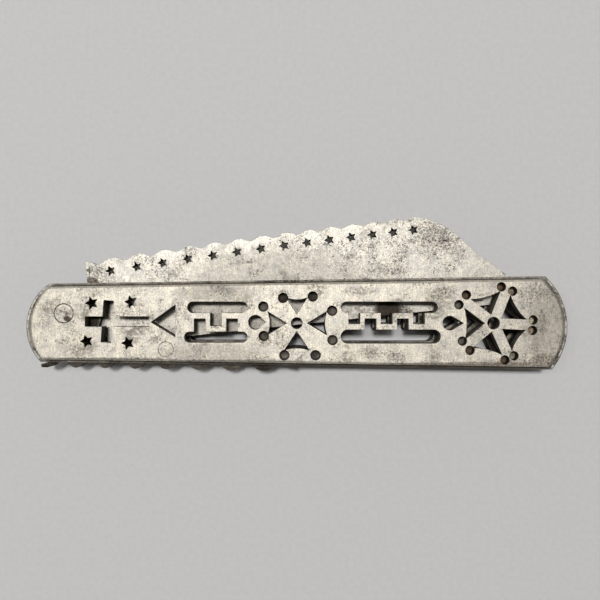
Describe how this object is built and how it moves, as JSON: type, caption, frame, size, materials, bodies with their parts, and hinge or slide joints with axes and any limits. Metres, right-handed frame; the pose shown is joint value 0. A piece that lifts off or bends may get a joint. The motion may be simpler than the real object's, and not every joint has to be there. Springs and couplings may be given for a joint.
{
  "type": "pocket knife",
  "caption": "Folding pocket knife of pierced steel with a scalloped, star-pierced blade and a rocking lock lever, shown closed.",
  "frame": {"origin": "on the rear scale's outer face, halfway along the handle, under the centre of the four-petal cross", "axes": "+X along the handle from the pivot end to the butt, +Y across it towards the side where the blade comes out, +Z through the thickness from the rear scale to the front scale; the knife is stored closed"},
  "size_m": [0.12, 0.0345, 0.0092],
  "materials": {
    "scale_steel": "worn, brushed, with grey smudges and dark pits",
    "liner_steel": "dull, darkened along its edges",
    "blade_steel": "brushed, speckled with small pits, brown rust near the tang",
    "lever_steel": "dark and filed",
    "spring_steel": "dark and dull",
    "pin_steel": "peened and filed flush"
  },
  "bodies": {
    "handle": {"rear_scale": "scale_steel", "rear_liner": "liner_steel", "front_liner": "liner_steel", "front_scale": "scale_steel", "back_spacer": "lever_steel", "leaf_spring": "spring_steel", "pivot_pin": "pin_steel", "lever_pin": "pin_steel", "spring_pin": "pin_steel", "butt_pin": "pin_steel"},
    "blade": {"blade": "blade_steel"},
    "lever": {"lock_lever": "lever_steel"}
  },
  "joints": [
    {"name": "blade_pivot", "type": "hinge", "parent": "handle", "child": "blade", "pos_m": [-0.0508, 0.00215, 0.0046], "axis": [0, 0, 1], "range_deg": [0, 170]},
    {"name": "lock_release", "type": "hinge", "parent": "handle", "child": "lever", "pos_m": [-0.02855, -0.0057, 0.0046], "axis": [0, 0, 1], "range_deg": [-1.3, 2.2], "stiffness_Nm_per_rad": 0.3, "springref_deg": -5.73, "deforming": ["leaf_spring"]}
  ]
}
